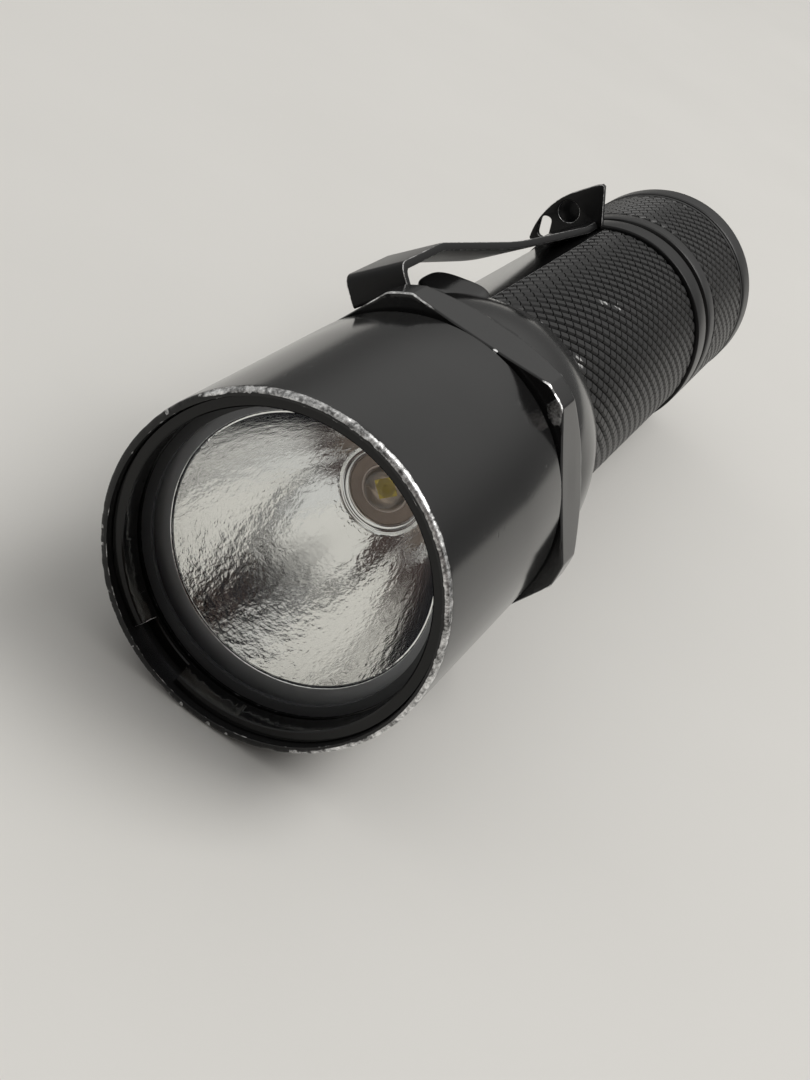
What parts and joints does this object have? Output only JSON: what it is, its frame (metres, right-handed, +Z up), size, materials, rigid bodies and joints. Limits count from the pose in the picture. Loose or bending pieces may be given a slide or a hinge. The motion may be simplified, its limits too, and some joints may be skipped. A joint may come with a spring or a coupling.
{
  "type": "tactical flashlight",
  "caption": "Black tactical flashlight: smooth bezel barrel, hexagon anti-roll flange, knurled tube, spring pocket clip with lanyard hole, and a tail push button.",
  "frame": {"origin": "under the middle of the light, on the plane that the flange's flat rests on", "axes": "+Y from the lens to the tail along the light's axis, +Z up, +X to the right seen from the lens end looking along +Y"},
  "size_m": [0.0384, 0.1372, 0.035],
  "materials": {
    "head_black": "satin black hard anodised",
    "ring_black": "gloss black anodised",
    "gasket_black": "matte",
    "window_glass": "clear, coated",
    "reflector_mirror": "orange-peel vapour-deposited aluminium",
    "insulator_white": "matte",
    "emitter_ceramic": "matte white",
    "emitter_phosphor": "matte yellow",
    "emitter_silicone": "clear silicone",
    "board_core": "white solder mask",
    "lead_copper": "insulated copper",
    "sink_aluminium": "machined",
    "board_green": "solder mask",
    "inductor_ferrite": "matte",
    "spring_gold": "gold plated",
    "tube_black": "satin black hard anodised, knurled",
    "seal_rubber": "greased",
    "cell_wrap": "shrink wrap",
    "cell_nickel": "nickel plated",
    "clip_black": "satin black coating on spring steel, worn edges",
    "cap_black": "satin black hard anodised, knurled",
    "ring_brass": "machined",
    "switch_polymer": "matte",
    "washer_polymer": "matte",
    "boot_rubber": "matte"
  },
  "bodies": {
    "light": {"head_body": "head_black", "lens_retaining_ring": "ring_black", "lens_gasket": "gasket_black", "lens": "window_glass", "reflector": "reflector_mirror", "led_centering_ring": "insulator_white", "led_package": "emitter_ceramic", "led_die": "emitter_phosphor", "led_dome": "emitter_silicone", "led_board": "board_core", "led_leads": "lead_copper", "heat_sink": "sink_aluminium", "driver_board": "board_green", "driver_inductor": "inductor_ferrite", "driver_spring": "spring_gold", "battery_tube": "tube_black", "tube_o_ring": "seal_rubber", "tail_o_ring": "seal_rubber", "front_cell": "cell_wrap", "front_cell_terminal": "cell_nickel", "rear_cell": "cell_wrap", "rear_cell_terminal": "cell_nickel", "clip_band": "clip_black"},
    "clip": {"clip_arm": "clip_black"},
    "tail": {"tail_cap": "cap_black", "tail_spring": "spring_gold", "switch_retaining_ring": "ring_brass", "switch_board": "board_green", "switch_housing": "switch_polymer", "switch_spring": "cell_nickel", "boot_washer": "washer_polymer", "boot_rim": "boot_rubber"},
    "plunger": {"switch_plunger": "switch_polymer"},
    "button": {"switch_boot": "boot_rubber"}
  },
  "joints": [
    {"name": "clip_flex", "type": "hinge", "parent": "light", "child": "clip", "pos_m": [-0.01008, 0.0334, 0.02758], "axis": [-0.7071, 0, -0.7071], "range_deg": [0, 4], "stiffness_Nm_per_rad": 4},
    {"name": "tail_cap_turn", "type": "hinge", "parent": "light", "child": "tail", "pos_m": [0, 0.0514, 0.0175], "axis": [0, 1, 0], "range_deg": [0, 180]},
    {"name": "button_travel", "type": "slide", "parent": "tail", "child": "button", "axis": [0, -1, 0], "range_m": [0, 0.0024], "stiffness_N_per_m": 2500},
    {"name": "plunger_travel", "type": "slide", "parent": "tail", "child": "plunger", "axis": [0, -1, 0], "range_m": [0, 0.0024], "deforming": ["switch_spring"]}
  ],
  "couplings": [
    {"joint": "plunger_travel", "follows": "button_travel", "ratio": 1}
  ]
}
